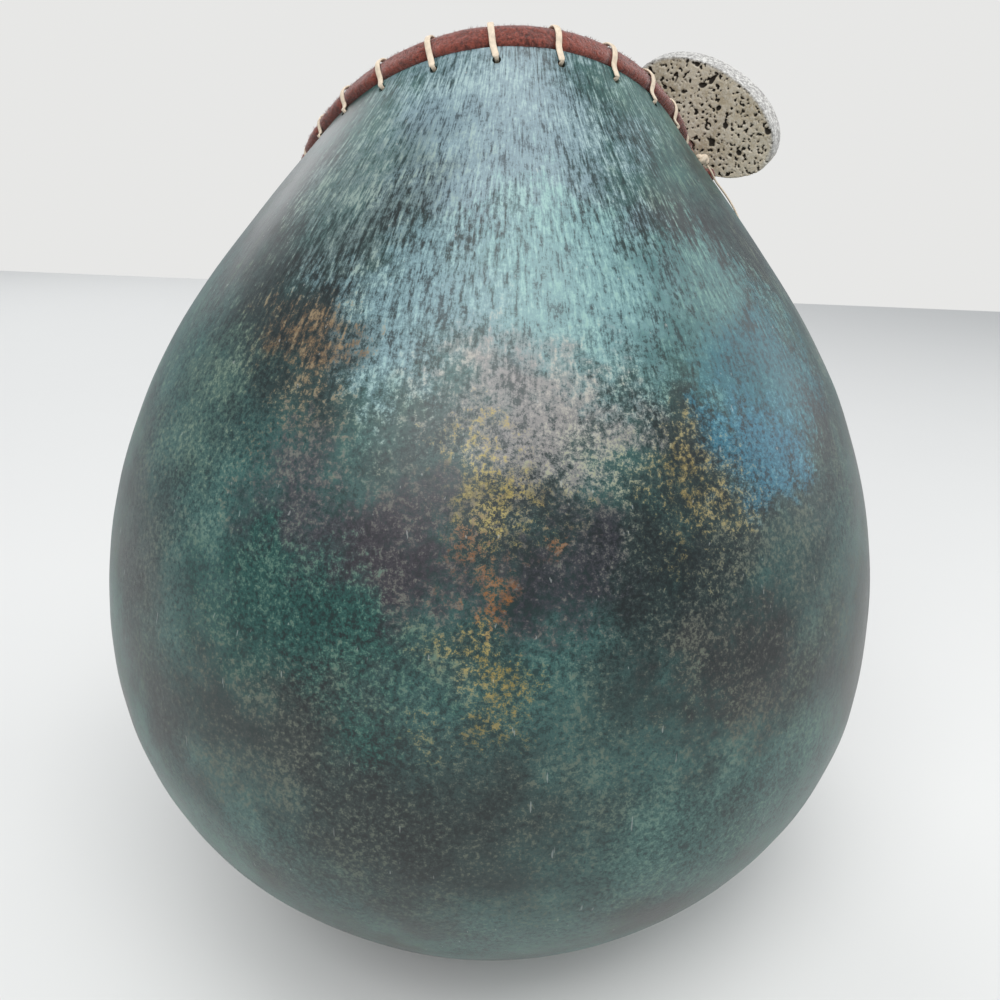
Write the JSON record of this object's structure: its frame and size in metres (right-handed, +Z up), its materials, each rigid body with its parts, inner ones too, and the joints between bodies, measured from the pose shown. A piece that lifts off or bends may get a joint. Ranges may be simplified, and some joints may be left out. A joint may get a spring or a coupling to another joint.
{
  "type": "open gourd vessel",
  "caption": "Pear-shaped dried gourd vessel with a slanting cut mouth, a laced suede welt on the rim and a porous slice tied on beside it.",
  "frame": {"origin": "centre of the flat foot, on the surface that the gourd stands on", "axes": "+Z up the gourd's axis; -Y is the high back of the rim, which the picture shows; +X is the side with the slice"},
  "size_m": [0.32, 0.3198, 0.3611],
  "materials": {
    "dyed_gourd": "sponged teal, blue, violet and ochre dye under satin wax",
    "red_suede": "matt nap",
    "pale_lace": "smooth matt",
    "porous_bone": "open pores, sawn face"
  },
  "bodies": {
    "vessel": {"gourd_shell": "dyed_gourd", "rim_welt": "red_suede", "rim_lacing": "pale_lace", "lacing_knot": "pale_lace", "lacing_tail": "pale_lace", "slice_thong": "red_suede", "thong_knot": "red_suede"},
    "slice": {"porous_slice": "porous_bone"}
  },
  "joints": [
    {"name": "slice_rock", "type": "hinge", "parent": "vessel", "child": "slice", "pos_m": [0.07349, 0.02891, 0.3254], "axis": [0.4763, 0.835, 0.2756], "range_deg": [0, 8]}
  ]
}
